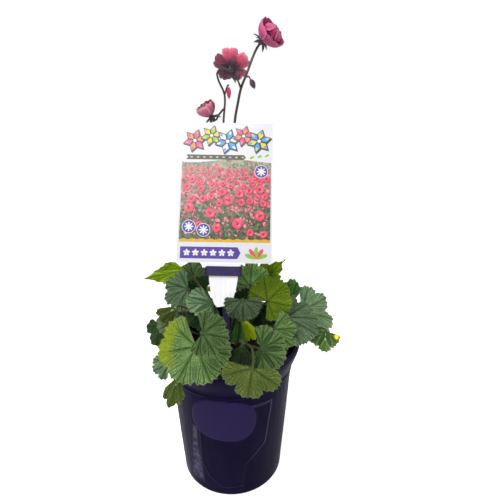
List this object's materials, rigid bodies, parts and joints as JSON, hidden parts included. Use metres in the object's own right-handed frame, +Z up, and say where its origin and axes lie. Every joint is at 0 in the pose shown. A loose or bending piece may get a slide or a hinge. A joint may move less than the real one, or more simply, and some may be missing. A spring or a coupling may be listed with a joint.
{
  "type": "potted geum",
  "caption": "Young flowering geum in a round nursery pot, with toothed round leaves, tall thin flower stems and a plain picture label on a push-in holder.",
  "frame": {"origin": "centre of the pot's flat base, on the surface that the pot stands on", "axes": "+Z up, -Y towards the printed side of the label, +X to its right seen from the front"},
  "size_m": [0.195, 0.1742, 0.457],
  "materials": {
    "pot": "dark violet-black moulded plastic, satin gloss",
    "soil": "rough dark potting mix",
    "label_card": "white printed plastic sheet",
    "label_holder": "dark violet moulded plastic",
    "leaf_deep": "dark green, finely hairy",
    "leaf_mid": "mid green, veined and hairy",
    "leaf_blue": "grey green, veined and hairy",
    "leaf_lime": "bright yellow green",
    "leaf_olive": "olive green",
    "leaf_pale": "pale green",
    "stem": "dark purple-brown, hairy",
    "petal_rose": "soft rose pink",
    "petal_pink": "soft dusty pink",
    "stamen": "dry tan",
    "bud_coral": "coral red"
  },
  "bodies": {
    "root": {"pot": "pot", "soil": "soil", "label_card": "label_card", "label_holder": "label_holder", "leaf_01": "leaf_mid", "leaf_02": "leaf_mid", "leaf_03": "leaf_olive", "leaf_04": "leaf_deep", "leaf_05": "leaf_mid", "leaf_06": "leaf_mid", "leaf_07": "leaf_blue", "leaf_08": "leaf_deep", "leaf_09": "leaf_lime", "leaf_10": "leaf_blue", "leaf_11": "leaf_blue", "leaf_12": "leaf_mid", "leaf_13": "leaf_deep", "leaf_14": "leaf_lime", "leaf_15": "leaf_mid", "leaf_16": "leaf_blue", "leaf_17": "leaf_blue", "leaf_18": "leaf_lime", "leaf_19": "leaf_deep", "leaf_20": "leaf_deep", "leaf_21": "leaf_pale", "leaf_22": "leaf_deep", "leaf_23": "leaf_blue", "leaf_24": "leaf_olive", "leaf_25": "leaf_mid", "leaf_26": "leaf_mid", "leaf_27": "leaf_blue", "leaf_28": "leaf_mid", "leaf_29": "leaf_blue", "leaf_30": "leaf_lime", "leaf_31": "leaf_deep", "leaf_32": "leaf_mid", "leaf_33": "leaf_olive", "leaf_34": "leaf_deep", "scape_left": "stem", "scape_right": "stem", "petals_top": "petal_rose", "stamens_top": "stamen", "petals_middle": "petal_pink", "stamens_middle": "stamen", "petals_low": "petal_pink", "stamens_low": "stamen", "bud_coral": "bud_coral"}
  },
  "joints": []
}
